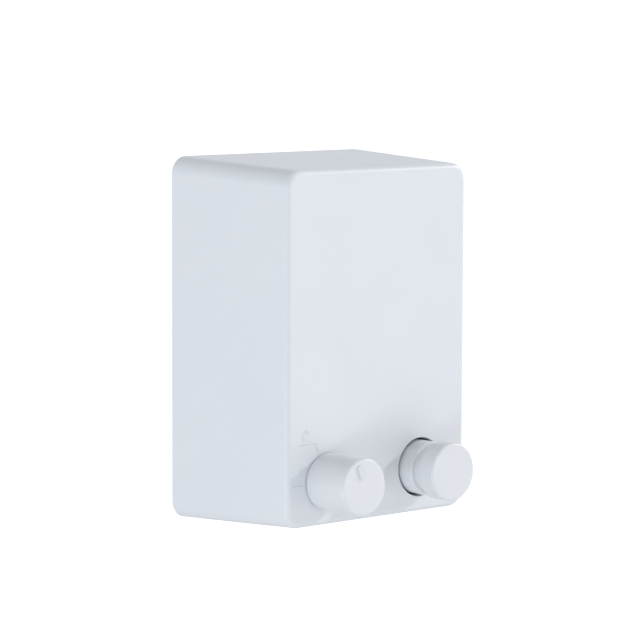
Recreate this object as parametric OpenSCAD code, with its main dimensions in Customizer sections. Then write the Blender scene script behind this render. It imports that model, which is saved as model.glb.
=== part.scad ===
// Wall-mounted retractable clothesline.
// Inside on_wall() the drawing plane is the wall: x to the right, y up, z straight out from the wall.
// The row frame is +X right, +Y into the wall, +Z up, with the origin in the middle of the back face.

/* [Housing] */
// Width of the housing at the wall
body_w = 90; // [84:1:120]
// Height of the housing at the wall
body_h = 125; // [120:1:160]
// Depth of the housing, wall to front panel
body_d = 56; // [55:1:75]
// Draft of the left and right sides, in degrees
side_draft = 4; // [1:0.5:4.5]
// Draft of the top and bottom, in degrees
top_draft = 2.7; // [1:0.1:4]
// Corner radius seen from the front
corner_r = 6; // [4:0.5:10]
// Rounding between the front panel and the sides
edge_r = 2; // [1:0.5:4]
// Wall thickness of the housing
wall = 2.5; // [2:0.1:3]
// Thickness of the rear cover
cover_t = 2.5; // [2:0.1:3.5]

/* [Wall plate] */
// Width of the steel wall plate
plate_w = 60; // [56:1:64]
// Height of the steel wall plate
plate_h = 84; // [78:1:90]
// Sheet thickness of the wall plate
plate_t = 1.5; // [1:0.1:2]
// Distance between the wall screws, sideways
hole_dx = 44; // [40:1:46]
// Distance between the wall screws, up and down
hole_dy = 64; // [60:1:68]
// Radius of the wall screw holes
wall_hole_r = 2.5; // [2:0.1:3]

/* [Reel] */
// Height of the reel axis above the middle of the housing
reel_y = 18.5; // [17:0.5:20]
// Radius of the reel flanges
flange_r = 38; // [37:0.5:39]
// Radius of the core that the line is wound on
core_r = 32; // [26:0.5:33]
// Wall of the core around the spring barrel
barrel_wall = 4.5; // [3.5:0.1:6]
// Gap between the two flanges
winding_w = 14; // [13.9:0.1:16]
// Width of the power spring
spring_w = 12; // [8:0.5:12]
// Thickness of the spring strip
spring_t = 0.4; // [0.2:0.05:0.5]
// Coils of the power spring
spring_turns = 21; // [12:1:22]

/* [Line] */
// Diameter of the coated steel line
line_d = 1.5; // [1.2:0.1:1.5]
// Height of the line as it runs across the housing
line_y = -44.4; // [-45:0.1:-44]
// Turns in each layer of the winding, inner layer first
layer_turns = [9, 8, 4];
// Line radius in the groove of the guide pulleys
bend_r = 6; // [5:0.1:7.2]
// Thickness of the guide pulleys
pulley_t = 4; // [3.6:0.1:4.4]

/* [Pull head] */
// Place of the pull head, right of the middle
head_x = 20; // [18:0.5:21]
// Radius of the front disc
head_r = 10; // [9:0.1:10.5]
// Thickness of the front disc
head_disc_t = 6.7; // [5:0.1:8]
// Radius of the neck
neck_r = 7.8; // [7.6:0.1:8.6]
// Length of the neck
neck_l = 4.2; // [3:0.1:5]
// Radius of the barrel behind the neck
head_barrel_r = 9.3; // [9:0.1:9.4]
// How far the barrel stands out of the front panel
head_barrel_out = 5.5; // [4:0.1:7]
// Radius of the port in the front panel
port_r = 10.2; // [10.1:0.1:10.3]

/* [Lock knob] */
// Place of the lock knob, left of the middle
knob_x = -23; // [-24:0.5:-22]
// Height of the lock knob's axis
knob_y = -45; // [-45.5:0.1:-44.5]
// Radius of the lock knob
knob_r = 9.7; // [9:0.1:10.5]
// Length of the lock knob
knob_l = 18.2; // [14:0.1:22]
// Radius of the lock spindle
spindle_r = 3; // [2.8:0.1:3.2]
// Turn between locked and open, in degrees
lock_turn = 68; // [50:1:70]
// Offset of the spindle's cam pin
cam_r = 2; // [1.5:0.1:2.2]
// Angle of the knob's mark at rest, anticlockwise from straight up
mark_angle = 21; // [15:1:30]

/* [Fasteners and fits] */
// Radius of the case screws
case_screw_r = 1.5; // [1.2:0.1:1.6]
// Radius of the small screws
small_screw_r = 1.25; // [1:0.05:1.3]
// Radial clearance of a running fit
run_gap = 0.05; // [0.02:0.01:0.1]
// Radial clearance of a screw in its tapped hole and of a located piece
seat_gap = 0.02; // [0.01:0.01:0.05]
// Clearance between the line and what it passes
line_gap = 0.05; // [0.03:0.01:0.2]
// Free space between pieces that pass one another
pass_gap = 0.2; // [0.1:0.05:0.3]

/* [Hidden] */
$fn = 64;
eps = 0.01;
cut = 1; // how far a cutting shape runs past the face it cuts

line_r = line_d / 2;

// depths, measured out from the wall
cover_d0 = plate_t + 1.5;
cover_d1 = cover_d0 + cover_t;
panel_in = body_d - wall;
seat_t = 2;
arbor_flange_t = 1.5;
seat_d = cover_d1 + seat_t;
bush_flange_t = 1.5;
bush_d0 = seat_d + arbor_flange_t + 0.5;
spring_cover_t = 1.5;
hub_back = bush_d0 + bush_flange_t;
drum_d0 = hub_back + 4;
drum_flange_t = 2;
wind_d0 = drum_d0 + drum_flange_t;
wind_d1 = wind_d0 + winding_w;
drum_d1 = wind_d1 + drum_flange_t;
hub_front = drum_d1 + 6;
washer_t = 0.8;
washer_d = hub_front + bush_flange_t + 0.1;
circlip_t = 1;
circlip_d = washer_d + washer_t + 0.1;
arbor_end = panel_in - 2.5;
line_depth = (wind_d0 + wind_d1) / 2;

// arbor, bushes and hubs
barrel_r = core_r - barrel_wall;
rear_journal_r = 6.5;
spring_journal_r = 6;
front_journal_r = 4;
rear_bush_r = 8;
front_bush_r = 5.5;
rear_hub_r = 10;
front_hub_r = 8;
arbor_flange_r = 15.5;
arbor_screw_ring = 12.5;
cover_screw_ring = (barrel_r + core_r) / 2;
cover_screw_r = 1;
spring_slot_w = 1;

// winding
turn_pitch = line_d + 0.03;
layer_step = sqrt(pow(turn_pitch, 2) - pow(turn_pitch / 2, 2)) + eps;
first_layer_r = core_r + line_r + 0.02;
layer_r = [for (i = [0:len(layer_turns) - 1]) first_layer_r + i * layer_step];
out_r = layer_r[len(layer_r) - 1];

// line frame and guide pulleys
frame_d0 = line_depth - 10;
frame_t = 2.5;
frame_d1 = frame_d0 + frame_t;
left_pulley_x = bend_r - out_r;
left_pulley_y = line_y + bend_r;
right_pulley_x = head_x - bend_r;
right_pulley_d = line_depth + bend_r;
pulley_r = bend_r + 1.25;
pulley_pin_r = 2;
pin_head_r = 3.4;
clip_t = 0.6;
frame_screw_xy = [[-34.5, -33.5], [-34.5, -45.5], [27, -33.5], [27, -45.5]];
standoff_r = 3.5;
shelf_t = 2.5;

// clamp
slider_d0 = line_depth + 2.4;
slider_t = 3;
slider_d1 = slider_d0 + slider_t;
rail_w = 2.4;
rail_gap = 0.1;
slider_edge = 1.6; // plastic left beside the cam slot
jaw_x0 = left_pulley_x + pulley_r + 8.5 * pass_gap + rail_gap + rail_w;
jaw_w = 8;
jaw_y0 = line_y + line_r + line_gap;
pad_t = 1.5;
anvil_y1 = line_y - line_r - line_gap;
anvil_h = 3.1;
cam_pin_r = 1.2;
cam_gap = 0.08;
cam_angle = -lock_turn / 2;
cam_drop = cam_r * sin(cam_angle);
spindle_disc_r = 4.6;
spindle_disc_t = 2;
spindle_disc_d = slider_d1 + pass_gap;

// knob
knob_d0 = body_d + 0.3;
knob_d1 = knob_d0 + knob_l;
knob_face_t = 2.5;
pointer_w = 1;
pointer_t = 0.6; // how far the pointer stands proud of the knob
mark_t = 0.25; // how far the marks stand proud of the front panel
mark_w = 0.4;
mark_d0 = body_d - 0.5;
mark_d1 = body_d + mark_t;
knob_wall = 1.7;
socket_r = 5.4;
spindle_end = knob_d1 - knob_face_t;
flat_x = 0.75 * spindle_r;
stop_r = 6.6;
stop_peg_r = 0.9;
stop_depth = 1.3;
peg_angle = 180 + mark_angle;
spindle_boss_r = 6;
spindle_boss_l = 5.5;
spindle_boss_d = panel_in - spindle_boss_l;

// pull head and dock
cup_back = panel_in - 10.5;
cup_floor_t = 2;
cup_r = port_r + 1.8;
cup_in = cup_back + cup_floor_t;
bumper_t = 3;
head_back = cup_in + bumper_t;
head_floor_t = 3;
barrel_end = body_d + head_barrel_out;
neck_end = barrel_end + neck_l;
head_end = neck_end + head_disc_t;
head_bore_r = neck_r - 1.8;
ear_angle = [45, 135];
ear_r = 3.2;
ear_ring = cup_r + ear_r + 0.5;
ear_d0 = panel_in - 7;
ear_t = 2.5;
eyelet_r = 3;
eyelet_bore = line_r + 0.25;

// case screws
case_boss_r = 4;
boss_x = body_w / 2 - 9;
boss_y = body_h / 2 - 8.5;
case_head_r = 2.8;
case_head_t = 1.4;
case_screw_l = 14;

// wall plate hooks and foot
hook_x = plate_w / 2 - 6;
hook_w = 10;
hook_y = 8;
hook_lip = 4;
lip_gap = 0.3;
pocket_r = 6;
pocket_t = 1.5;
foot_w = 14;
foot_y = -(inner_half_h(7) - 2.2);
foot_l = 12;
foot_screw_d = 7;
foot_head_r = 3;
foot_head_y = -(body_h / 2 - 1.5);

function half_w(d) = body_w / 2 - d * tan(side_draft);
function half_h(d) = body_h / 2 - d * tan(top_draft);
function inner_half_w(d) = half_w(d) - wall;
function inner_half_h(d) = half_h(d) - wall;

module on_wall() { rotate([90, 0, 0]) children(); }

// a round post along the depth, from depth d0 to d1
module post(d0, d1, r) { translate([0, 0, d0]) cylinder(h = d1 - d0, r = r); }

module tube(d0, d1, r_out, r_in) {
    difference() {
        post(d0, d1, r_out);
        post(d0 - cut, d1 + cut, r_in);
    }
}

// a block from corner [x0, y0, d0] to corner [x1, y1, d1]
module block(a, b) { translate(a) cube(b - a); }

// a round upright from height y0 to y1, standing at x and depth d
module upright(x, d, y0, y1, r) {
    translate([x, y0, d]) rotate([-90, 0, 0]) cylinder(h = y1 - y0, r = r);
}

// a rounded slab whose front and back follow the draft of the housing
module drafted_slab(d, inset) {
    r = max(corner_r - inset, 1);
    x = half_w(d) - inset - r;
    y = half_h(d) - inset - r;
    for (sx = [-1, 1], sy = [-1, 1])
        translate([sx * x, sy * y, d]) cylinder(h = eps, r = r, $fn = 32);
}

module housing_outside() {
    hull() {
        drafted_slab(0, 0);
        for (a = [0:22.5:90])
            drafted_slab(body_d - edge_r * (1 - sin(a)) - eps, edge_r * (1 - cos(a)));
    }
}

module housing_inside() {
    hull() {
        drafted_slab(-cut, wall);
        drafted_slab(panel_in - eps, wall);
    }
}

module rounded_rect(w, h, r) {
    square([w - 2 * r, h], center = true);
    square([w, h - 2 * r], center = true);
    for (sx = [-1, 1], sy = [-1, 1])
        translate([sx * (w / 2 - r), sy * (h / 2 - r)]) circle(r);
}

// a pan head screw along the depth: its head sits on depth d and its shank points outwards
module screw_out(d, r, length, head_r, head_t) {
    post(d, d + length, r);
    difference() {
        post(d - head_t, d, head_r);
        for (a = [0, 90]) rotate([0, 0, a])
            block([-head_r * 0.6, -0.3, d - head_t - cut], [head_r * 0.6, 0.3, d - head_t / 2]);
    }
}

// the same screw turned round, with its shank pointing at the wall
module screw_in(d, r, length, head_r, head_t) {
    translate([0, 0, 2 * d]) mirror([0, 0, 1]) screw_out(d, r, length, head_r, head_t);
}

// an open retaining clip that fills a groove of radius groove_r
module snap_clip(d, t, groove_r, r_out) {
    difference() {
        tube(d, d + t, r_out, groove_r);
        block([-groove_r * 0.7, 0, d - cut], [groove_r * 0.7, r_out + cut, d + t + cut]);
    }
}

module case_boss_places() {
    for (sx = [-1, 1], sy = [-1, 1]) translate([sx * boss_x, sy * boss_y, 0]) children();
}

module ear_places() {
    for (a = ear_angle)
        translate([head_x + ear_ring * cos(a), line_y + ear_ring * sin(a), 0]) children();
}

module frame_screw_places() {
    for (p = frame_screw_xy) translate([p[0], p[1], 0]) children();
}

module arbor_screw_places() {
    for (a = [90, 210, 330]) rotate([0, 0, a]) translate([arbor_screw_ring, 0, 0]) children();
}

module cover_screw_places() {
    for (a = [60, 180, 300]) rotate([0, 0, a]) translate([cover_screw_ring, 0, 0]) children();
}

module at_reel() { translate([0, reel_y, 0]) children(); }
module at_knob() { translate([knob_x, knob_y, 0]) children(); }
module at_head() { translate([head_x, line_y, 0]) children(); }

// the arc groove that the knob's stop peg runs in, a little longer than the peg's travel
module stop_groove() {
    r = stop_peg_r + pass_gap;
    spare = asin(r / stop_r);
    rotate([0, 0, peg_angle - spare]) rotate_extrude(angle = lock_turn + 2 * spare)
        translate([stop_r - r, body_d - stop_depth - pass_gap]) square([2 * r, stop_depth + cut]);
}

// a raised padlock sign on the front panel, closed or open
module padlock_sign(open) {
    body_x = 1.6;
    body_l = 2.4;
    shackle_r = 1.25;
    foot = 0.3;
    block([-body_x, -body_l, mark_d0], [body_x, 0, mark_d1]);
    translate([open ? 2.2 : 0, 0, 0]) difference() {
        tube(mark_d0, mark_d1, shackle_r, shackle_r - 0.4);
        block([-body_x, -body_l, mark_d0 - cut], [body_x, -foot, mark_d1 + cut]);
    }
}

// a raised bar of the marks' width, from one corner of its middle line to the other
module mark_bar(x0, x1, y) {
    block([x0, y - mark_w / 2, mark_d0], [x1, y + mark_w / 2, mark_d1]);
}

module panel_marks() {
    at_knob() {
        rotate([0, 0, mark_angle])
            block([-mark_w / 2, knob_r + 1, mark_d0], [mark_w / 2, knob_r + 4.5, mark_d1]);
        mark_bar(-12.6, -5.2, 13.2);
        translate([-9.4, 16.7, 0]) padlock_sign(false);
        mark_bar(-15.3, -11.4, -0.6);
        translate([-13.4, 4.6, 0]) padlock_sign(true);
    }
}

module front_housing() {
    color("whitesmoke") on_wall() panel_marks();
    color("whitesmoke") on_wall() difference() {
        housing_outside();
        difference() {
            housing_inside();
            case_boss_places() post(cover_d1, body_d, case_boss_r);
            at_reel() post(arbor_end - 5, body_d, front_hub_r);
            at_knob() post(spindle_boss_d, body_d, spindle_boss_r);
            ear_places() post(ear_d0 + ear_t, body_d, ear_r);
        }
        case_boss_places() post(0, cover_d0 + case_screw_l + cut, case_screw_r + seat_gap);
        at_reel() post(arbor_end - 5 - cut, arbor_end + 0.5, front_journal_r + run_gap);
        at_knob() post(spindle_boss_d - cut, body_d + cut, spindle_r + run_gap);
        at_knob() stop_groove();
        at_head() post(panel_in - cut, body_d + cut, port_r);
        ear_places() post(ear_d0, panel_in + 1, small_screw_r + seat_gap);
        upright(0, foot_screw_d, -body_h / 2 - cut, -body_h / 2 + 6, case_screw_r + pass_gap);
        upright(0, foot_screw_d, -body_h / 2 - cut, foot_head_y, foot_head_r + pass_gap);
    }
}

module rear_cover() {
    w = 2 * (inner_half_w(cover_d1) - pass_gap);
    h = 2 * (inner_half_h(cover_d1) - pass_gap);
    color("gainsboro") on_wall() difference() {
        union() {
            translate([0, 0, cover_d0]) linear_extrude(cover_t) rounded_rect(w, h, corner_r - wall);
            at_reel() post(cover_d1 - eps, seat_d, arbor_flange_r + 0.5);
            frame_screw_places() post(cover_d1 - eps, frame_d0, standoff_r);
        }
        case_boss_places() post(0, cover_d1 + cut, case_screw_r + pass_gap);
        for (sx = [-1, 1], sy = [-1, 1]) translate([sx * hole_dx / 2, sy * hole_dy / 2, 0])
            post(cover_d0 - cut, cover_d0 + pocket_t, pocket_r);
        for (sx = [-1, 1])
            block([sx * hook_x - hook_w / 2 - 0.5, hook_y - plate_t - hook_lip - 0.5, 0],
                  [sx * hook_x + hook_w / 2 + 0.5, hook_y, cover_d1 + cut]);
        block([-foot_w / 2 - 0.5, -body_h, 0], [foot_w / 2 + 0.5, foot_y + 1.5, cover_d1 + cut]);
        at_reel() arbor_screw_places() post(cover_d0 + 0.5, seat_d + cut, small_screw_r + seat_gap);
        frame_screw_places() post(cover_d0 + 1, frame_d0 + cut, small_screw_r + seat_gap);
    }
}

module plate_hook() {
    lip_d0 = cover_d1 + lip_gap;
    block([-hook_w / 2, hook_y - plate_t, 0], [hook_w / 2, hook_y, lip_d0 + plate_t]);
    block([-hook_w / 2, hook_y - plate_t, lip_d0],
          [hook_w / 2, hook_y + hook_lip, lip_d0 + plate_t]);
}

module wall_plate() {
    window = cover_d1 + lip_gap + hook_lip;
    color("silver") on_wall() {
        difference() {
            union() {
                linear_extrude(plate_t) rounded_rect(plate_w, plate_h, 6);
                block([-foot_w / 2, foot_y - plate_t, 0], [foot_w / 2, -plate_h / 2 + 6, plate_t]);
            }
            for (sx = [-1, 1], sy = [-1, 1])
                translate([sx * hole_dx / 2, sy * hole_dy / 2, 0])
                    post(-cut, plate_t + cut, wall_hole_r);
            for (sx = [-1, 1])
                block([sx * hook_x - hook_w / 2, hook_y - plate_t - window, -cut],
                      [sx * hook_x + hook_w / 2, hook_y - plate_t, plate_t + cut]);
        }
        for (sx = [-1, 1]) translate([sx * hook_x, 0, 0]) plate_hook();
        difference() {
            block([-foot_w / 2, foot_y - plate_t, 0], [foot_w / 2, foot_y, foot_l]);
            upright(0, foot_screw_d, foot_y - 2 * plate_t, foot_y + cut, case_screw_r + seat_gap);
        }
    }
}

module case_screws() {
    color("silver") on_wall() case_boss_places()
        screw_out(cover_d0, case_screw_r, case_screw_l, case_head_r, case_head_t);
}

module retaining_screw() {
    color("silver") on_wall() difference() {
        union() {
            upright(0, foot_screw_d, foot_head_y, foot_y + 2, case_screw_r);
            upright(0, foot_screw_d, foot_head_y - 1, foot_head_y, foot_head_r);
        }
        for (a = [0, 1])
            block([-(a ? 0.3 : 1.8), foot_head_y - 1 - cut, foot_screw_d - (a ? 1.8 : 0.3)],
                  [(a ? 0.3 : 1.8), foot_head_y - 0.5, foot_screw_d + (a ? 1.8 : 0.3)]);
    }
}

module arbor() {
    color("lightsteelblue") on_wall() at_reel() difference() {
        union() {
            post(seat_d, seat_d + arbor_flange_t, arbor_flange_r);
            post(seat_d, wind_d0, rear_journal_r);
            post(seat_d, wind_d1, spring_journal_r);
            post(seat_d, arbor_end, front_journal_r);
        }
        arbor_screw_places()
            post(seat_d - cut, seat_d + arbor_flange_t + cut, small_screw_r + pass_gap);
        block([2.5, -spring_slot_w / 2, wind_d0 + 0.5],
              [spring_journal_r + cut, spring_slot_w / 2, wind_d1 + cut]);
        tube(circlip_d - seat_gap, circlip_d + circlip_t + seat_gap,
             front_journal_r + cut, front_journal_r - 0.6);
    }
}

module arbor_screws() {
    color("silver") on_wall() at_reel() arbor_screw_places()
        screw_in(seat_d + arbor_flange_t, small_screw_r, 5, 2, 1.2);
}

module arbor_washer() {
    color("silver") on_wall() at_reel()
        tube(washer_d, washer_d + washer_t, front_hub_r, front_journal_r + run_gap);
}

module arbor_circlip() {
    color("dimgray") on_wall() at_reel()
        snap_clip(circlip_d, circlip_t, front_journal_r - 0.6 + seat_gap, 5.6);
}

module front_bush() {
    color("goldenrod") on_wall() at_reel() {
        tube(drum_d1 - drum_flange_t, hub_front, front_bush_r, front_journal_r + run_gap);
        tube(hub_front, hub_front + bush_flange_t, front_bush_r + 2, front_journal_r + run_gap);
    }
}

module rear_bush() {
    color("goldenrod") on_wall() at_reel() {
        tube(hub_back, drum_d0 + 1, rear_bush_r, rear_journal_r + run_gap);
        tube(bush_d0, hub_back, rear_bush_r + 1.5, rear_journal_r + run_gap);
    }
}

module reel_drum() {
    color("ivory") on_wall() at_reel() difference() {
        union() {
            post(drum_d0, wind_d0, flange_r);
            post(drum_d0, drum_d1, core_r);
            post(wind_d1, drum_d1, flange_r);
            post(wind_d1, hub_front, front_hub_r);
        }
        post(drum_d0 - cut, wind_d1, barrel_r);
        post(wind_d1 - cut, hub_front + cut, front_bush_r + seat_gap);
        cover_screw_places() post(drum_d0 - cut, drum_d0 + 8, cover_screw_r + seat_gap);
        block([barrel_r - 2, -spring_slot_w / 2, wind_d0], [barrel_r + 2, spring_slot_w / 2, wind_d1]);
    }
}

module spring_cover() {
    color("ivory") on_wall() at_reel() difference() {
        union() {
            post(drum_d0 - spring_cover_t, drum_d0, core_r + 2);
            post(hub_back, drum_d0, rear_hub_r);
            tube(drum_d0 - eps, drum_d0 + 1.5, barrel_r - run_gap, barrel_r - 2);
        }
        post(hub_back - cut, drum_d0 + cut, rear_bush_r + seat_gap);
        cover_screw_places()
            post(drum_d0 - spring_cover_t - cut, drum_d0 + cut, cover_screw_r + pass_gap);
    }
}

module spring_cover_screws() {
    color("silver") on_wall() at_reel() cover_screw_places()
        screw_out(drum_d0 - spring_cover_t, cover_screw_r, 8, 1.9, 1);
}

// the strip's middle line is an Archimedean spiral from the arbor out to the barrel
spring_r0 = spring_journal_r + 0.5;
spring_r1 = barrel_r - 0.4;
function spring_r(a) = spring_r0 + (spring_r1 - spring_r0) * a / (360 * spring_turns);

module power_spring() {
    step = 20;
    angles = [0:step:360 * spring_turns];
    side = spring_t / 2;
    outer = [for (a = angles) (spring_r(a) + side) * [cos(a), sin(a)]];
    inner = [for (i = [0:step:360 * spring_turns])
             let (a = 360 * spring_turns - i) (spring_r(a) - side) * [cos(a), sin(a)]];
    color("slategray") on_wall() at_reel() translate([0, 0, line_depth - spring_w / 2])
        linear_extrude(spring_w) {
            polygon(concat(outer, inner));
            translate([2.9, -side]) square([spring_r0 - 2.8, spring_t]);
            translate([spring_r1 - 0.1, -side]) square([1.9, spring_t]);
        }
}

module line_winding() {
    first = line_depth - (layer_turns[0] - 1) / 2 * turn_pitch;
    color("gainsboro") on_wall() at_reel()
        for (i = [0:len(layer_turns) - 1], k = [0:layer_turns[i] - 1]) {
            from_end = (layer_turns[0] - 1 - k) - (i % 2) / 2;
            translate([0, 0, first + from_end * turn_pitch])
                rotate_extrude() translate([layer_r[i], 0]) circle(line_r);
        }
}

module pulley() {
    difference() {
        rotate_extrude() difference() {
            translate([pulley_pin_r + run_gap, -pulley_t / 2])
                square([pulley_r - pulley_pin_r - run_gap, pulley_t]);
            translate([bend_r, 0]) circle(line_r + line_gap);
            polygon([[bend_r, -line_r - line_gap], [bend_r, line_r + line_gap],
                     [pulley_r + cut, 2.1], [pulley_r + cut, -2.1]]);
        }
        for (a = [0:60:300]) rotate([0, 0, a])
            translate([3.6, 0, -pulley_t]) cylinder(h = 2 * pulley_t, r = 0.6);
    }
}

module left_pulley() {
    color("white") on_wall() translate([left_pulley_x, left_pulley_y, line_depth]) pulley();
}

module right_pulley() {
    color("white") on_wall() translate([right_pulley_x, line_y, right_pulley_d])
        rotate([-90, 0, 0]) pulley();
}

module line_frame() {
    x0 = -38.5;
    x1 = 31;
    y0 = -49.5;
    y1 = -30;
    shelf_y = line_y - pulley_t / 2 - 0.3;
    jaw_x1 = jaw_x0 + jaw_w;
    rail_x1 = jaw_x1 + rail_gap + rail_w;
    rail_x0 = jaw_x0 - rail_gap - rail_w;
    anvil_y0 = anvil_y1 - anvil_h;
    color("darkseagreen") on_wall() difference() {
        union() {
            block([x0, y0, frame_d0], [x1, y1, frame_d1]);
            block([rail_x0, anvil_y0 - shelf_t, frame_d0], [rail_x1, y0 + 1, frame_d1]);
            block([rail_x0, anvil_y0 - shelf_t, frame_d0], [rail_x1, anvil_y0, slider_d0 - 0.4]);
            for (x = [rail_x0, jaw_x1 + rail_gap])
                block([x, jaw_y0 + 0.8, frame_d0], [x + rail_w, y1 - 2, slider_d0 - pass_gap]);
            for (s = [-1, 1]) {
                y = line_y + s * (pulley_t / 2 + 0.3 + shelf_t / 2);
                block([right_pulley_x - 5, y - shelf_t / 2, frame_d0],
                      [right_pulley_x + 5, y + shelf_t / 2, right_pulley_d]);
                upright(right_pulley_x, right_pulley_d, y - shelf_t / 2, y + shelf_t / 2, 5);
            }
        }
        frame_screw_places() post(frame_d0 - cut, frame_d1 + cut, small_screw_r + pass_gap);
        translate([left_pulley_x, left_pulley_y, 0])
            post(frame_d0 - cut, frame_d1 + cut, pulley_pin_r + seat_gap);
        upright(right_pulley_x, right_pulley_d, shelf_y - 2 * shelf_t, line_y + 10,
                pulley_pin_r + seat_gap);
        upright(jaw_x0 + jaw_w / 2, line_depth - 1, anvil_y0 - shelf_t - cut, anvil_y0 + cut,
                small_screw_r + pass_gap);
    }
}

module frame_screws() {
    color("silver") on_wall() frame_screw_places()
        screw_in(frame_d1, small_screw_r, 9, 2.4, 1.5);
}

module left_pulley_pin() {
    clip_d = line_depth + pulley_t / 2 + pass_gap;
    color("silver") on_wall() translate([left_pulley_x, left_pulley_y, 0]) difference() {
        union() {
            post(frame_d0 + 0.2, clip_d + clip_t + 0.6, pulley_pin_r);
            post(frame_d1, line_depth - pulley_t / 2 - pass_gap, pin_head_r);
        }
        tube(clip_d - seat_gap, clip_d + clip_t + seat_gap, pulley_pin_r + cut, pulley_pin_r - 0.5);
    }
}

module right_pulley_pin() {
    top = line_y + pulley_t / 2 + 0.3 + shelf_t;
    clip_y = line_y - pulley_t / 2 - 0.3 - shelf_t - clip_t - 0.05;
    color("silver") on_wall() translate([right_pulley_x, 0, right_pulley_d]) rotate([-90, 0, 0])
        difference() {
            union() {
                post(clip_y - 0.6, top + 1.2, pulley_pin_r);
                post(top, top + 1.2, pin_head_r);
            }
            tube(clip_y - seat_gap, clip_y + clip_t + seat_gap,
                 pulley_pin_r + cut, pulley_pin_r - 0.5);
        }
}

module pulley_clips() {
    groove_r = pulley_pin_r - 0.5 + seat_gap;
    clip_y = line_y - pulley_t / 2 - 0.3 - shelf_t - clip_t - 0.05;
    color("dimgray") on_wall() {
        translate([left_pulley_x, left_pulley_y, 0])
            snap_clip(line_depth + pulley_t / 2 + pass_gap, clip_t, groove_r, 3.6);
        translate([right_pulley_x, 0, right_pulley_d]) rotate([-90, 0, 0])
            snap_clip(clip_y, clip_t, groove_r, 3.6);
    }
}

module dock_cup() {
    color("white") on_wall() difference() {
        union() {
            at_head() post(cup_back, panel_in, cup_r);
            ear_places() post(ear_d0, ear_d0 + ear_t, ear_r);
            for (a = ear_angle) at_head() rotate([0, 0, a])
                block([0, -2, ear_d0], [ear_ring, 2, ear_d0 + ear_t]);
        }
        at_head() post(cup_in, panel_in + cut, port_r);
        at_head() post(cup_back - cut, cup_in + cut, eyelet_r + seat_gap);
        ear_places() post(ear_d0 - cut, ear_d0 + ear_t + cut, small_screw_r + pass_gap);
    }
}

module dock_screws() {
    color("silver") on_wall() ear_places() screw_out(ear_d0, small_screw_r, 7, 2.4, 1.5);
}

module dock_bumper() {
    color("dimgray") on_wall() at_head() tube(cup_in, head_back - 0.05, 8, 4.6);
}

module line_eyelet() {
    color("silver") on_wall() at_head() {
        tube(cup_back - 1, cup_in, eyelet_r, eyelet_bore);
        tube(cup_back - 1, cup_back, eyelet_r + 1.2, eyelet_bore);
    }
}

module clamp_anvil() {
    color("slategray") on_wall() difference() {
        block([jaw_x0, anvil_y1 - anvil_h, line_depth - 4],
              [jaw_x0 + jaw_w, anvil_y1, slider_d0 - 0.4]);
        upright(jaw_x0 + jaw_w / 2, line_depth - 1, anvil_y1 - anvil_h - cut, anvil_y1 - 1,
                small_screw_r + seat_gap);
    }
}

module anvil_screw() {
    y = anvil_y1 - anvil_h - shelf_t;
    color("silver") on_wall() difference() {
        union() {
            upright(jaw_x0 + jaw_w / 2, line_depth - 1, y, anvil_y1 - 1.2, small_screw_r);
            upright(jaw_x0 + jaw_w / 2, line_depth - 1, y - 1.5, y, 2.4);
        }
        block([jaw_x0 + jaw_w / 2 - 1.5, y - 1.5 - cut, line_depth - 1.3],
              [jaw_x0 + jaw_w / 2 + 1.5, y - 0.8, line_depth - 0.7]);
    }
}

module clamp_slider() {
    pin_y = cam_drop;
    slot_r = cam_pin_r + cam_gap;
    slot_x0 = cam_r * cos(cam_angle) - 0.1;
    slot_x1 = cam_r + 0.1;
    top = -35 - knob_y;
    jaw_x = jaw_x0 - knob_x;
    jaw_x1 = jaw_x + jaw_w;
    color("slategray") on_wall() at_knob() difference() {
        union() {
            block([slot_x0 - slot_r - slider_edge, -4.2, slider_d0],
                  [jaw_x1 + rail_w, 4.5, slider_d1]);
            block([jaw_x, 2, slider_d0], [jaw_x1, 8, slider_d1]);
            block([jaw_x, jaw_y0 + pad_t - knob_y, frame_d1 + pass_gap],
                  [jaw_x1, top, slider_d0 + eps]);
        }
        for (x = [slot_x0, slot_x1]) translate([x, pin_y, 0])
            post(slider_d0 - cut, slider_d1 + cut, slot_r);
        block([slot_x0, pin_y - slot_r, slider_d0 - cut], [slot_x1, pin_y + slot_r, slider_d1 + cut]);
    }
}

module clamp_pad() {
    color("dimgray") on_wall()
        block([jaw_x0, jaw_y0, line_depth - 4], [jaw_x0 + jaw_w, jaw_y0 + pad_t, slider_d0]);
}

module lock_spindle() {
    clip_d = spindle_boss_d - 0.65 - circlip_t;
    color("silver") on_wall() at_knob() {
        difference() {
            union() {
                post(spindle_disc_d, spindle_disc_d + spindle_disc_t, spindle_disc_r);
                post(spindle_disc_d, spindle_end, spindle_r);
            }
            tube(clip_d - seat_gap, clip_d + circlip_t + seat_gap, spindle_r + cut, spindle_r - 0.6);
            block([flat_x, -spindle_r, body_d + 2], [spindle_r + cut, spindle_r, spindle_end + cut]);
        }
        translate([cam_r * cos(cam_angle), cam_drop, 0])
            post(slider_d0 + pass_gap, spindle_disc_d + eps, cam_pin_r);
    }
}

module spindle_clip() {
    color("dimgray") on_wall() at_knob()
        snap_clip(spindle_boss_d - 0.65 - circlip_t, circlip_t, spindle_r - 0.6 + seat_gap, 5.2);
}

module friction_washer() {
    color("dimgray") on_wall() at_knob()
        tube(spindle_boss_d - 0.6, spindle_boss_d - 0.05, 5.6, spindle_r + run_gap);
}

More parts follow.
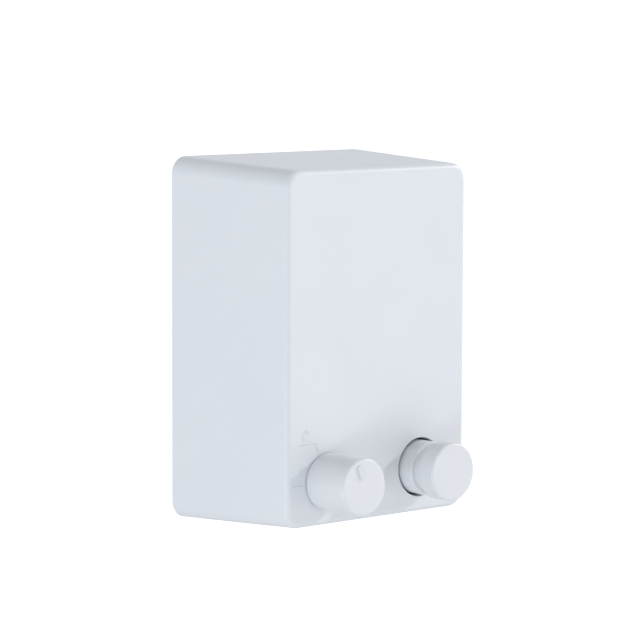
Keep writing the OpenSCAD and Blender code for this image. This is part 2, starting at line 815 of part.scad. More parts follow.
module lock_knob() {
    inside_r = knob_r - knob_wall;
    face_in = knob_d1 - knob_face_t;
    color("white") on_wall() at_knob() difference() {
        union() {
            rotate_extrude($fn = 96) difference() {
                union() {
                    translate([0, knob_d0]) square([knob_r - 0.6, knob_l]);
                    translate([0, knob_d0]) square([knob_r, knob_l - 0.6]);
                    translate([knob_r - 0.6, knob_d1 - 0.6]) circle(0.6);
                }
                translate([socket_r, knob_d0 - cut])
                    square([inside_r - socket_r, face_in - knob_d0 + cut]);
            }
            rotate([0, 0, mark_angle]) block([-pointer_w / 2, knob_r - 6.7, knob_d1 - 0.5],
                                             [pointer_w / 2, knob_r - 1.8, knob_d1 + pointer_t]);
            rotate([0, 0, peg_angle]) {
                block([socket_r - 0.5, -0.8, knob_d0 + 1], [inside_r + 0.5, 0.8, face_in + 0.5]);
                translate([stop_r, 0, 0]) post(body_d - stop_depth, knob_d0 + 2, stop_peg_r);
            }
        }
        difference() {
            post(knob_d0 - cut, face_in, spindle_r + seat_gap);
            block([flat_x + seat_gap, -2 * spindle_r, body_d + 2],
                  [2 * spindle_r, 2 * spindle_r, knob_d1]);
        }
    }
}

module pull_head_body() {
    color("white") on_wall() at_head() difference() {
        union() {
            post(head_back, barrel_end, head_barrel_r);
            post(head_back, neck_end, neck_r);
        }
        post(head_back + head_floor_t, neck_end + cut, head_bore_r);
        post(head_back - cut, head_back + head_floor_t + cut, line_r + pass_gap);
    }
}

module pull_head_cap() {
    color("white") on_wall() at_head() {
        rotate_extrude($fn = 96) {
            translate([0, neck_end]) square([head_r - 0.6, head_disc_t]);
            translate([0, neck_end]) square([head_r, head_disc_t - 0.6]);
            translate([head_r - 0.6, head_end - 0.6]) circle(0.6);
        }
        tube(neck_end - 6, neck_end + eps, head_bore_r - seat_gap, head_bore_r - 1.5);
    }
}

module line_ferrule() {
    color("silver") on_wall() at_head()
        tube(head_back + head_floor_t, head_back + head_floor_t + 7, 2, line_r);
}

// each station of the route is [place, direction, sideways direction]
function turn_station(x, y, r, a) =
    [[x + r * cos(a), y + r * sin(a), line_depth], [-sin(a), cos(a), 0], [cos(a), sin(a), 0]];
route = concat(
    [for (a = [120:5:180]) turn_station(0, reel_y, out_r, a)],
    [for (a = [180:15:270]) turn_station(left_pulley_x, left_pulley_y, bend_r, a)],
    [for (a = [-90:15:0])
        [[right_pulley_x + bend_r * cos(a), line_y, right_pulley_d + bend_r * sin(a)],
         [-sin(a), 0, cos(a)], [0, -1, 0]]],
    [[[head_x, line_y, cup_back + 4], [0, 0, 1], [0, -1, 0]]]);

module line_run() {
    sides = 8;
    last = (len(route) - 1) * sides;
    points = [for (s = route, k = [0:sides - 1])
              let (a = (k + 0.5) * 360 / sides)
              s[0] + line_r * (cos(a) * s[2] + sin(a) * cross(s[1], s[2]))];
    walls = [for (i = [0:len(route) - 2], k = [0:sides - 1])
             let (next = (k + 1) % sides, here = i * sides, there = here + sides)
             [here + k, there + k, there + next, here + next]];
    start = [for (k = [0:sides - 1]) k];
    end = [for (k = [sides - 1:-1:0]) last + k];
    color("gainsboro") on_wall() polyhedron(points, concat([start, end], walls));
}

module line_tail() {
    color("gainsboro") on_wall() at_head()
        post(cup_back + 4.05, head_back + head_floor_t + 7.5, line_r);
}

front_housing();
rear_cover();
wall_plate();
case_screws();
retaining_screw();
arbor();
arbor_screws();
arbor_washer();
arbor_circlip();
line_frame();
frame_screws();
left_pulley_pin();
right_pulley_pin();
pulley_clips();
left_pulley();
right_pulley();
dock_cup();
dock_screws();
dock_bumper();
line_eyelet();
clamp_anvil();
anvil_screw();
reel_drum();
spring_cover();
spring_cover_screws();
power_spring();
front_bush();
rear_bush();
line_winding();
line_run();
line_tail();
line_ferrule();
pull_head_body();
pull_head_cap();
lock_knob();
lock_spindle();
spindle_clip();
friction_washer();
clamp_slider();
clamp_pad();
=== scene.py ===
import math
import bmesh
import bpy
from mathutils import Matrix, Vector


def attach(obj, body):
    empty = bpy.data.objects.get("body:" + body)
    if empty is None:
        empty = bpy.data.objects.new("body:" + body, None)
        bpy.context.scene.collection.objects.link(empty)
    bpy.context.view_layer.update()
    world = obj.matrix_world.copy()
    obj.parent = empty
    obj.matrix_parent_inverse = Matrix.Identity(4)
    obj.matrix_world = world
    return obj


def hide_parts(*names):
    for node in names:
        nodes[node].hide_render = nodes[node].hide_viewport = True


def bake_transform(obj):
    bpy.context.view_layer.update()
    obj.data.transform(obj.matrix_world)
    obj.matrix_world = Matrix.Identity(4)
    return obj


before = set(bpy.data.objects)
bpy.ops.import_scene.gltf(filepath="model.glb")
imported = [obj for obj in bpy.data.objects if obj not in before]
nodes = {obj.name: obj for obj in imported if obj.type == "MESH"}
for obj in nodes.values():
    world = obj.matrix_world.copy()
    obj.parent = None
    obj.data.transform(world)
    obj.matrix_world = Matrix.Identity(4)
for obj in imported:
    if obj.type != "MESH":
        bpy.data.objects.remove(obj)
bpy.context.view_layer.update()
mm = 0.001


def onWall(x, up, out):
    # x to the right, up the wall, out from the wall, all in mm
    return Vector((x * mm, -out * mm, up * mm))


view = {
    "azimuth": -41.655, "elevation": 5.995, "roll": 0.190,
    "distance": 1064.1, "lens": 173.19, "right": -2.523, "up": 5.727,
}


def placeCamera():
    az, el, roll = (math.radians(view[k]) for k in ("azimuth", "elevation", "roll"))
    back = Vector((math.sin(az) * math.cos(el), -math.cos(az) * math.cos(el), math.sin(el)))
    level = (-back).cross(Vector((0, 0, 1))).normalized()
    upright = level.cross(-back)
    right = level * math.cos(roll) + upright * math.sin(roll)
    up = upright * math.cos(roll) - level * math.sin(roll)
    aim = onWall(0, 0, 30) + (right * view["right"] + up * view["up"]) * mm
    camera = bpy.data.objects.new("camera", bpy.data.cameras.new("camera"))
    bpy.context.scene.collection.objects.link(camera)
    camera.data.sensor_width = 36
    camera.data.lens = view["lens"]
    turn = Matrix((right, up, back)).transposed()
    camera.matrix_world = Matrix.Translation(aim + back * view["distance"] * mm) @ turn.to_4x4()
    bpy.context.scene.camera = camera


placeCamera()
print("camera placed")


def newMaterial(name):
    made = bpy.data.materials.new(name)
    made.use_nodes = True
    return made, made.node_tree.nodes, made.node_tree.links


def objectPoint(tree, links, scale=(1, 1, 1), centre=(0, 0, 0)):
    where = tree.new("ShaderNodeTexCoord")
    place = tree.new("ShaderNodeMapping")
    place.vector_type = "POINT"
    place.inputs["Scale"].default_value = scale
    place.inputs["Location"].default_value = [-c * s for c, s in zip(centre, scale)]
    links.new(where.outputs["Object"], place.inputs["Vector"])
    return place.outputs["Vector"]


def noise(tree, links, point, scale, detail=2, roughness=0.5):
    made = tree.new("ShaderNodeTexNoise")
    made.inputs["Scale"].default_value = scale
    made.inputs["Detail"].default_value = detail
    made.inputs["Roughness"].default_value = roughness
    links.new(point, made.inputs["Vector"])
    return made.outputs["Fac"]


def spread(tree, links, value, low, high, fromLow=0.3, fromHigh=0.7):
    made = tree.new("ShaderNodeMapRange")
    limits = (("From Min", fromLow), ("From Max", fromHigh), ("To Min", low), ("To Max", high))
    for name, number in limits:
        made.inputs[name].default_value = number
    links.new(value, made.inputs["Value"])
    return made.outputs["Result"]


def twoTone(tree, links, value, first, second):
    ramp = tree.new("ShaderNodeValToRGB")
    ramp.color_ramp.elements[0].position = 0.3
    ramp.color_ramp.elements[1].position = 0.7
    ramp.color_ramp.elements[0].color = (*first, 1)
    ramp.color_ramp.elements[1].color = (*second, 1)
    links.new(value, ramp.inputs["Fac"])
    return ramp.outputs["Color"]


def bump(tree, links, height, strength, distance, under=None):
    made = tree.new("ShaderNodeBump")
    made.inputs["Strength"].default_value = strength
    made.inputs["Distance"].default_value = distance
    links.new(height, made.inputs["Height"])
    if under:
        links.new(under, made.inputs["Normal"])
    return made.outputs["Normal"]


plastics = {
    "shellWhite": {"first": (0.70, 0.722, 0.757), "second": (0.715, 0.735, 0.767), "rough": 0.42,
                   "grain": 1900, "grainHeight": 0.35, "soft": 0.06},
    "knobWhite": {"first": (0.70, 0.715, 0.745), "second": (0.715, 0.728, 0.755), "rough": 0.34,
                  "grain": 2600, "grainHeight": 0.22, "soft": 0.06},
    "coverWhite": {"first": (0.70, 0.72, 0.74), "second": (0.75, 0.765, 0.78), "rough": 0.55,
                   "grain": 1500, "grainHeight": 0.5, "soft": 0.04},
    "frameGrey": {"first": (0.30, 0.33, 0.35), "second": (0.35, 0.375, 0.39), "rough": 0.48,
                  "grain": 1400, "grainHeight": 0.45, "soft": 0.02},
    "dockWhite": {"first": (0.74, 0.75, 0.77), "second": (0.78, 0.79, 0.80), "rough": 0.45,
                  "grain": 1600, "grainHeight": 0.4, "soft": 0.05},
    "reelIvory": {"first": (0.74, 0.72, 0.66), "second": (0.79, 0.77, 0.72), "rough": 0.40,
                  "grain": 1200, "grainHeight": 0.3, "soft": 0.10},
    "pulleyNatural": {"first": (0.78, 0.77, 0.73), "second": (0.83, 0.82, 0.79), "rough": 0.30,
                      "grain": 1800, "grainHeight": 0.2, "soft": 0.14},
    "bumperRubber": {"first": (0.022, 0.022, 0.024), "second": (0.04, 0.04, 0.042), "rough": 0.78,
                     "grain": 2200, "grainHeight": 0.8, "soft": 0.0},
}


def mouldedPlastic(name):
    look = plastics[name]
    made, tree, links = newMaterial(name)
    shader = tree["Principled BSDF"]
    point = objectPoint(tree, links)
    cloud = noise(tree, links, point, 38, 3)  # slow change of tone, some 25 mm across
    links.new(twoTone(tree, links, cloud, look["first"], look["second"]),
              shader.inputs["Base Color"])
    grain = noise(tree, links, point, look["grain"], 3, 0.6)
    links.new(spread(tree, links, grain, look["rough"] - 0.06, look["rough"] + 0.07),
              shader.inputs["Roughness"])
    flow = noise(tree, links, point, 130, 1)
    wavy = bump(tree, links, flow, 0.12, 0.00012)
    links.new(bump(tree, links, grain, look["grainHeight"], 0.00002, wavy), shader.inputs["Normal"])
    shader.inputs["Subsurface Weight"].default_value = look["soft"]
    shader.inputs["Subsurface Radius"].default_value = (1, 0.9, 0.8)
    shader.inputs["Subsurface Scale"].default_value = 0.0012
    shader.inputs["IOR"].default_value = 1.53
    return made


metals = {
    "sheetSteel": {"first": (0.50, 0.51, 0.52), "second": (0.66, 0.67, 0.68),
                   "rough": 0.38, "marks": "spangle"},
    "zincScrew": {"first": (0.60, 0.61, 0.62), "second": (0.72, 0.72, 0.70),
                  "rough": 0.26, "marks": "fine"},
    "shaftSteel": {"first": (0.52, 0.52, 0.53), "second": (0.62, 0.62, 0.62),
                   "rough": 0.24, "marks": "turned"},
    "clipSteel": {"first": (0.09, 0.09, 0.10), "second": (0.16, 0.155, 0.15),
                  "rough": 0.34, "marks": "fine"},
    "springSteel": {"first": (0.16, 0.18, 0.23), "second": (0.28, 0.29, 0.32),
                    "rough": 0.24, "marks": "rolled"},
    "clampSteel": {"first": (0.24, 0.24, 0.25), "second": (0.34, 0.34, 0.35),
                   "rough": 0.42, "marks": "fine"},
    "bushBrass": {"first": (0.62, 0.46, 0.20), "second": (0.74, 0.57, 0.28),
                  "rough": 0.27, "marks": "turned"},
    "ferruleMetal": {"first": (0.60, 0.60, 0.58), "second": (0.70, 0.69, 0.66),
                     "rough": 0.32, "marks": "turned"},
    "eyeletSteel": {"first": (0.63, 0.63, 0.63), "second": (0.72, 0.72, 0.71),
                    "rough": 0.16, "marks": "turned"},
}


def workedMetal(name, centre=(0, 0, 0)):
    look = metals[name]
    made, tree, links = newMaterial(name)
    shader = tree["Principled BSDF"]
    shader.inputs["Metallic"].default_value = 1
    point = objectPoint(tree, links, centre=centre)
    if look["marks"] == "turned":
        # rings round the axis and lines along it, left by the lathe
        apart = tree.new("ShaderNodeSeparateXYZ")
        links.new(point, apart.inputs[0])
        flat = tree.new("ShaderNodeCombineXYZ")
        links.new(apart.outputs["X"], flat.inputs["X"])
        links.new(apart.outputs["Z"], flat.inputs["Y"])
        length = tree.new("ShaderNodeVectorMath")
        length.operation = "LENGTH"
        links.new(flat.outputs[0], length.inputs[0])
        ring = tree.new("ShaderNodeCombineXYZ")
        links.new(length.outputs["Value"], ring.inputs["X"])
        links.new(apart.outputs["Y"], ring.inputs["Y"])
        marks = noise(tree, links, ring.outputs[0], 3800, 2)
        height = 0.25
    elif look["marks"] == "spangle":
        crystals = tree.new("ShaderNodeTexVoronoi")
        crystals.inputs["Scale"].default_value = 240
        links.new(point, crystals.inputs["Vector"])
        apart = tree.new("ShaderNodeSeparateXYZ")
        links.new(crystals.outputs["Color"], apart.inputs[0])
        marks = apart.outputs["X"]
        height = 0.03
    elif look["marks"] == "rolled":
        marks = noise(tree, links, objectPoint(tree, links, (600, 4500, 600)), 1, 2)
        height = 0.2
    else:
        marks = noise(tree, links, point, 1700, 3)
        height = 0.3
    cloud = noise(tree, links, point, 150, 3)
    both = tree.new("ShaderNodeMath")
    both.operation = "MULTIPLY_ADD"
    both.inputs[1].default_value = 0.5
    links.new(marks, both.inputs[0])
    half = tree.new("ShaderNodeMath")
    half.operation = "MULTIPLY"
    half.inputs[1].default_value = 0.5
    links.new(cloud, half.inputs[0])
    links.new(half.outputs[0], both.inputs[2])
    links.new(twoTone(tree, links, both.outputs[0], look["first"], look["second"]),
              shader.inputs["Base Color"])
    links.new(spread(tree, links, marks, look["rough"] - 0.05, look["rough"] + 0.09),
              shader.inputs["Roughness"])
    links.new(bump(tree, links, marks, height, 0.00002), shader.inputs["Normal"])
    return made


def coatedWire():
    # stainless strands under a clear coat: dark between the strands, bright on their backs
    made, tree, links = newMaterial("coatedWire")
    shader = tree["Principled BSDF"]
    shader.inputs["Metallic"].default_value = 0.85
    shader.inputs["Coat Weight"].default_value = 0.6
    shader.inputs["Coat Roughness"].default_value = 0.12
    point = objectPoint(tree, links)
    grain = noise(tree, links, point, 2500, 2)
    links.new(twoTone(tree, links, grain, (0.42, 0.43, 0.45), (0.66, 0.67, 0.69)),
              shader.inputs["Base Color"])
    links.new(spread(tree, links, grain, 0.24, 0.36), shader.inputs["Roughness"])
    links.new(bump(tree, links, grain, 0.2, 0.00001), shader.inputs["Normal"])
    return made


looks = {name: mouldedPlastic(name) for name in plastics}
looks.update({name: workedMetal(name) for name in metals})
looks["coatedWire"] = coatedWire()
print("materials made")


def applied(piece):
    bpy.context.view_layer.update()
    solid = bpy.data.meshes.new_from_object(piece.evaluated_get(bpy.context.evaluated_depsgraph_get()))
    piece.modifiers.clear()
    piece.data = solid
    return piece


def meshPiece(name, points, faces):
    mesh = bpy.data.meshes.new(name)
    mesh.from_pydata(points, [], faces)
    work = bmesh.new()
    work.from_mesh(mesh)
    bmesh.ops.remove_doubles(work, verts=work.verts, dist=1e-7)
    bmesh.ops.recalc_face_normals(work, faces=work.faces)
    work.to_mesh(mesh)
    work.free()
    piece = bpy.data.objects.new(name, mesh)
    bpy.context.scene.collection.objects.link(piece)
    return piece


def skin(name, rings):
    # closed solid through rings of equal length, capped at both ends
    count = len(rings[0])
    points = [p for ring in rings for p in ring]
    faces = [
        (i * count + k, i * count + (k + 1) % count,
         (i + 1) * count + (k + 1) % count, (i + 1) * count + k)
        for i in range(len(rings) - 1) for k in range(count)
    ]
    last = (len(rings) - 1) * count
    return meshPiece(name, points, faces + [tuple(range(count)), tuple(last + k for k in range(count))])


def rounded(corners, steps=5):
    # corners are (radius, depth, fillet); gives the line with each corner rounded
    line = []
    for i, (r, d, fillet) in enumerate(corners):
        here = Vector((r, d))
        if fillet <= 0:
            line.append(here)
            continue
        before = Vector(corners[i - 1][:2]) - here
        after = Vector(corners[(i + 1) % len(corners)][:2]) - here
        angle = before.angle(after)
        reach = fillet / math.tan(angle / 2)
        start = here + before.normalized() * reach
        halfway = (before.normalized() + after.normalized()).normalized()
        centre = here + halfway * fillet / math.sin(angle / 2)
        sweep = math.pi - angle
        sign = 1 if before.cross(after) < 0 else -1
        arm = start - centre
        for k in range(steps + 1):
            a = sign * sweep * k / steps
            line.append(centre + Vector((arm.x * math.cos(a) - arm.y * math.sin(a),
                                         arm.x * math.sin(a) + arm.y * math.cos(a))))
    return line


def turned(name, centre, corners, segments=128, steps=5):
    # a solid of revolution about a line out from the wall; corners go round the section
    line = rounded(corners, steps)
    points, faces, rows = [], [], []
    for p in line:
        if p.x < 1e-6:
            rows.append([len(points)] * segments)
            points.append(onWall(centre[0], centre[1], p.y))
            continue
        rows.append(list(range(len(points), len(points) + segments)))
        for k in range(segments):
            a = 2 * math.pi * k / segments
            points.append(onWall(centre[0] + p.x * math.cos(a), centre[1] + p.x * math.sin(a), p.y))
    for i, row in enumerate(rows):
        following = rows[(i + 1) % len(rows)]
        for k in range(segments):
            loop = []
            for v in (row[k], row[(k + 1) % segments], following[(k + 1) % segments], following[k]):
                if v not in loop:
                    loop.append(v)
            if len(loop) > 2:
                faces.append(tuple(loop))
    return meshPiece(name, points, faces)


def slab(name, low, high, lean=0.0):
    # a block from one corner to the other, its front face drawn in by lean
    def ring(out, inset):
        return [onWall(x, y, out) for x, y in (
            (low[0] + inset, low[1] + inset), (high[0] - inset, low[1] + inset),
            (high[0] - inset, high[1] - inset), (low[0] + inset, high[1] - inset))]
    rings = [ring(low[2], 0), ring(high[2] - lean, 0)] + ([ring(high[2], lean)] if lean else [])
    return skin(name, rings)


def joined(first, others):
    work = bmesh.new()
    for piece in [first] + others:
        work.from_mesh(piece.data)
    work.to_mesh(first.data)
    work.free()
    for piece in others:
        bpy.data.objects.remove(piece)
    return first


def carve(piece, tools, operation="DIFFERENCE"):
    for tool in tools:
        cutter = piece.modifiers.new("carve", "BOOLEAN")
        cutter.operation = operation
        cutter.solver = "EXACT"
        cutter.object = tool
        applied(piece)
        bpy.data.objects.remove(tool)
    return piece


def turnMesh(piece, centre, degrees):
    about = onWall(centre[0], centre[1], 0)
    turn = Matrix.Rotation(math.radians(-degrees), 4, "Y")
    piece.data.transform(Matrix.Translation(about) @ turn @ Matrix.Translation(-about))
    return piece


def shade(piece, look, angle=30):
    mesh = piece.data
    mesh.materials.clear()
    mesh.materials.append(looks[look])
    for face in mesh.polygons:
        face.use_smooth = True
        face.material_index = 0
    mesh.set_sharp_from_angle(angle=math.radians(angle))
    even = piece.modifiers.new("even", "WEIGHTED_NORMAL")
    even.keep_sharp = True
    even.weight = 80
    return piece


housing = {
    "width": 90, "height": 125, "depth": 56, "sideDraft": 4, "topDraft": 2.7, "corner": 6,
    "edge": 2, "wall": 2.5, "rearEdge": 0.35, "knob": (-23, -45), "head": (20, -44.4), "reel": (0, 18.5),
    "portRadius": 10.2, "portEdge": 0.25, "spindleRadius": 3.05, "markAngle": 21, "markHeight": 0.2,
    "markWidth": 0.4, "markLean": 0.12, "signBar": (0.85, 1.25), "innerEdge": 1, "innerCornerDrawIn": 0.9,
    "caseBoss": (36, 54), "caseBossRadius": 4, "caseBossRear": 5.5, "caseBore": 1.52,
    "reelBossRadius": 8, "reelBossRear": 46, "reelBore": 4.05,
    "knobBossRadius": 6, "knobBossRear": 48,
    "earRing": 15.7, "earAngles": (45, 135), "earRadius": 3.2, "earRear": 49, "earBore": 1.27,
    "groove": (5.5, 7.7, 54.5, 57), "grooveSlack": 9.6, "knobTurn": 68,
    "footDepth": 7, "footBores": ((1.7, -56.5), (3.2, -61)),
}


def housingRing(out, inset, corner, steps=12):
    halfWidth = housing["width"] / 2 - out * math.tan(math.radians(housing["sideDraft"])) - inset
    halfHeight = housing["height"] / 2 - out * math.tan(math.radians(housing["topDraft"])) - inset
    ring = []
    for quarter, (sx, sy) in enumerate(((1, 1), (-1, 1), (-1, -1), (1, -1))):
        for k in range(steps + 1):
            a = math.radians(90 * quarter + 90 * k / steps)
            ring.append(onWall(sx * (halfWidth - corner) + corner * math.cos(a),
                               sy * (halfHeight - corner) + corner * math.sin(a), out))
    return ring


def housingShell():
    h = housing
    depth, wall, edge = h["depth"], h["wall"], h["edge"]
    rings = [housingRing(0, h["rearEdge"], h["corner"]), housingRing(h["rearEdge"], 0, h["corner"])]
    rings += [housingRing(out, 0, h["corner"]) for out in (12, 26, 40, 50)]
    for k in range(13):
        a = math.radians(90 * k / 12)
        drawIn = edge * (1 - math.cos(a))
        rings.append(housingRing(depth - edge * (1 - math.sin(a)), drawIn, h["corner"] - drawIn))
    shell = skin("housingShell", rings)

    panelIn = depth - wall
    hollow = [housingRing(-1, wall, h["corner"] - wall)]
    soft = h["innerEdge"]
    for k in range(6):
        a = math.radians(90 * k / 5)
        corner = h["corner"] - wall - h["innerCornerDrawIn"] * (1 - math.cos(a))
        hollow.append(housingRing(panelIn - soft + soft * math.sin(a),
                                  wall + soft - soft * math.cos(a), corner))
    cavity = skin("cavity", hollow)

    caseBosses = [(sx * h["caseBoss"][0], sy * h["caseBoss"][1]) for sx in (-1, 1) for sy in (-1, 1)]
    ears = [(h["head"][0] + h["earRing"] * math.cos(math.radians(a)),
             h["head"][1] + h["earRing"] * math.sin(math.radians(a))) for a in h["earAngles"]]
    # what stands in the cavity: place, radius, flare towards the panel, rear end, rounding, segments
    standing = [(place, h["caseBossRadius"], 0.05, h["caseBossRear"], 0.3, 64) for place in caseBosses]
    standing.append((h["reel"], h["reelBossRadius"], 0.1, h["reelBossRear"], 0.4, 64))
    standing.append((h["knob"], h["knobBossRadius"], 0.05, h["knobBossRear"], 0.3, 64))
    standing += [(place, h["earRadius"], 0.05, h["earRear"], 0.2, 48) for place in ears]
    past = depth + 2
    carve(cavity, [turned("post", place, [(0, rear, 0), (radius, rear, fillet),
                                          (radius + flare, past, 0), (0, past, 0)], segments)
                   for place, radius, flare, rear, fillet, segments in standing])
    carve(shell, [cavity])

    cuts = [turned("bore", place, [(0, -1, 0), (h["caseBore"], -1, 0), (h["caseBore"], 18, 0),
                                   (0, 18.8, 0)], 32) for place in caseBosses]
    for place, radius, rear, front, segments in (
            (h["reel"], h["reelBore"], 44, 51.5, 48), (h["knob"], h["spindleRadius"], 46, depth + 1, 64)):
        cuts.append(turned("bore", place, [(0, rear, 0), (radius, rear, 0), (radius, front, 0),
                                           (0, front, 0)], segments))
    port, lip = h["portRadius"], h["portEdge"]
    curve = [math.radians(b) for b in (22, 45, 67, 90)]
    cuts.append(turned("port", h["head"],
                       [(0, panelIn - 1, 0), (port, panelIn - 1, 0), (port, depth - lip, 0)]
                       + [(port + lip * (1 - math.cos(b)), depth - lip * (1 - math.sin(b)), 0)
                          for b in curve]
                       + [(port + lip, depth + 1, 0), (0, depth + 1, 0)], 128))
    for place in ears:
        cuts.append(turned("bore", place, [(0, 45, 0), (h["earBore"], 45, 0), (h["earBore"], 54.5, 0),
                                           (0, 54.5, 0)], 32))
    cuts.append(stopGroove())
    # hole and counterbore for the screw at the foot
    for radius, top in h["footBores"]:
        bore = turned("bore", (0, 0), [(0, -63.5, 0), (radius, -63.5, 0),
                                       (radius, top, 0), (0, top, 0)], 48)
        turn = Matrix.Rotation(math.radians(-90), 4, "X")
        bore.data.transform(Matrix.Translation(onWall(0, 0, h["footDepth"])) @ turn)
        cuts.append(bore)
    carve(shell, cuts)
    joined(shell, panelMarks())
    return shade(shell, "shellWhite")


def stopGroove():
    # the arc that the knob's stop peg runs in
    h = housing
    inner, outer, floor, top = h["groove"]
    x, y = h["knob"]
    start, sweep = 180 + h["markAngle"] - h["grooveSlack"], h["knobTurn"] + 2 * h["grooveSlack"]
    rings = []
    for k in range(25):
        a = math.radians(start + sweep * k / 24)
        rings.append([onWall(x + r * math.cos(a), y + r * math.sin(a), d)
                      for r, d in ((inner, floor), (outer, floor), (outer, top), (inner, top))])
    return skin("groove", rings)


def panelMarks():
    # raised signs beside the knob: a shut padlock and its line at the mark's place, an open one below
    h = housing
    x, y = h["knob"]
    base, top = h["depth"] - 0.4, h["depth"] + h["markHeight"]
    width, lean = h["markWidth"], h["markLean"]
    near, far = h["signBar"]
    marks = [turnMesh(slab("mark", (x - width / 2, y + 10.6, base), (x + width / 2, y + 14.2, top), lean),
                      h["knob"], h["markAngle"]),
             slab("mark", (x - 12.6, y + 13, base), (x - 5.2, y + 13 + width, top), lean),
             slab("mark", (x - 15.3, y - 0.8, base), (x - 11.4, y - 0.8 + width, top), lean)]
    shackle = ((near, base), (far, base), (far, top - lean), (far - 0.08, top), (near + 0.08, top),
               (near, top - lean))
    for (px, py), aside in (((-9.4, 16.7), 0), ((-13.4, 4.6), 2.2)):
        marks.append(slab("mark", (x + px - 1.6, y + py - 2.4, base), (x + px + 1.6, y + py, top), lean))
        bend = [math.pi * k / 16 for k in range(17)]
        marks.append(skin("mark", [
            [onWall(x + px + aside + r * math.cos(a), y + py + r * math.sin(a), d) for r, d in shackle]
            for a in bend]))
    return marks


shell = housingShell()
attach(shell, "housing")
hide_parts("front_housing")
print("housing made")


knob = {"centre": (-23, -45), "radius": 9.7, "rear": 56.3, "front": 74.5, "frontEdge": 0.85,
        "rearEdge": 0.3, "markWidth": 1.0, "markHeight": 0.6, "markFrom": 3.0, "markTo": 7.9, "markAngle": 21,
        "wall": 1.7, "face": 2.5, "socket": 5.4, "spindleRadius": 3.02, "flat": 2.27, "ribWidth": 1.6,
        "pegRing": 6.6, "pegRadius": 0.9, "pegEnd": 54.7}


def lockKnob():
    k = knob
    rear, front, radius = k["rear"], k["front"], k["radius"]
    inner, socket, faceIn, bored = radius - k["wall"], k["socket"], front - k["face"], k["spindleRadius"]
    body = turned("lockKnob", k["centre"],
                  [(0, rear + 0.6, 0), (2.6, rear + 0.6, 0), (bored, rear, 0), (socket, rear, 0.2),
                   (socket, faceIn, 0.5), (inner, faceIn, 0.5), (inner, rear, 0.2),
                   (radius, rear, k["rearEdge"]), (radius, front, k["frontEdge"]), (0, front, 0)], 160, 6)
    x, y = k["centre"]
    bore = turned("bore", k["centre"], [(0, rear - 1, 0), (bored, rear - 1, 0), (bored, faceIn, 0),
                                        (0, faceIn, 0)], 64)
    carve(bore, [slab("flat", (x + k["flat"], y - 6, rear - 3), (x + 8, y + 6, front))])
    carve(body, [bore])
    half, pin, end = k["ribWidth"] / 2, k["pegRadius"], k["pegEnd"]
    rib = slab("rib", (x - half, y + socket - 0.5, rear + 1), (x + half, y + inner + 0.5, faceIn + 0.5))
    peg = turned("peg", (x, y + k["pegRing"]), [(0, end, 0), (pin, end, 0.2), (pin, rear + 2, 0),
                                                (0, rear + 2, 0)], 32)
    for part in (rib, peg):
        turnMesh(part, k["centre"], 90 + k["markAngle"])
    pointer = slab("pointer", (x - k["markWidth"] / 2, y + k["markFrom"], front - 0.3),
                   (x + k["markWidth"] / 2, y + k["markTo"], front + k["markHeight"]), 0.18)
    turnMesh(pointer, k["centre"], k["markAngle"])
    joined(body, [rib, peg, pointer])
    return shade(body, "knobWhite")


lock = lockKnob()
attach(lock, "lock_knob")
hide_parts("lock_knob")
print("lock knob made")


head = {"centre": (20, -44.4), "back": 48, "barrel": 9.3, "barrelEnd": 61.5, "neck": 7.8, "neckEnd": 65.7,
        "disc": 10, "front": 72.4, "frontEdge": 0.85, "bore": 6.0}


def pullHeadBody():
    h = head
    return shade(turned("pullHeadBody", h["centre"], [
        (0.95, h["back"], 0), (h["barrel"], h["back"], 0.5), (h["barrel"], h["barrelEnd"], 0.45),
        (h["neck"], h["barrelEnd"], 0.25), (h["neck"], h["neckEnd"], 0), (h["bore"], h["neckEnd"], 0),
        (h["bore"], h["back"] + 3, 0.5), (0.95, h["back"] + 3, 0)], 144), "knobWhite")


def pullHeadCap():
    h = head
    inner, outer, rear = h["bore"] - 1.5, h["bore"] - 0.02, h["neckEnd"] - 6
    return shade(turned("pullHeadCap", h["centre"], [
        (0, h["neckEnd"], 0), (inner, h["neckEnd"], 0), (inner, rear, 0.2),
        (outer, rear, 0.3), (outer, h["neckEnd"], 0),
        (h["disc"], h["neckEnd"], 0.4), (h["disc"], h["front"], h["frontEdge"]),
        (0, h["front"], 0)], 144, 6), "knobWhite")


for made, node in ((pullHeadBody(), "pull_head_body"), (pullHeadCap(), "pull_head_cap")):
    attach(made, "pull_head")
    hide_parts(node)
print("pull head made")


def treeWith(name, sockets):
    tree = bpy.data.node_groups.new(name, "GeometryNodeTree")
    ids = {label: tree.interface.new_socket(name=label, in_out="INPUT", socket_type=kind).identifier
           for label, kind in sockets}
    tree.interface.new_socket(name="Mesh", in_out="OUTPUT", socket_type="NodeSocketGeometry")
    return tree, tree.nodes.new, tree.links.new, tree.nodes.new("NodeGroupInput"), ids


def endTree(tree, make, join, given, made):
    real = make("GeometryNodeRealizeInstances")
    dress = make("GeometryNodeSetMaterial")
    join(made, real.inputs["Geometry"])
    join(real.outputs["Geometry"], dress.inputs["Geometry"])
    join(given.outputs["Material"], dress.inputs["Material"])
    join(dress.outputs["Geometry"], make("NodeGroupOutput").inputs["Mesh"])


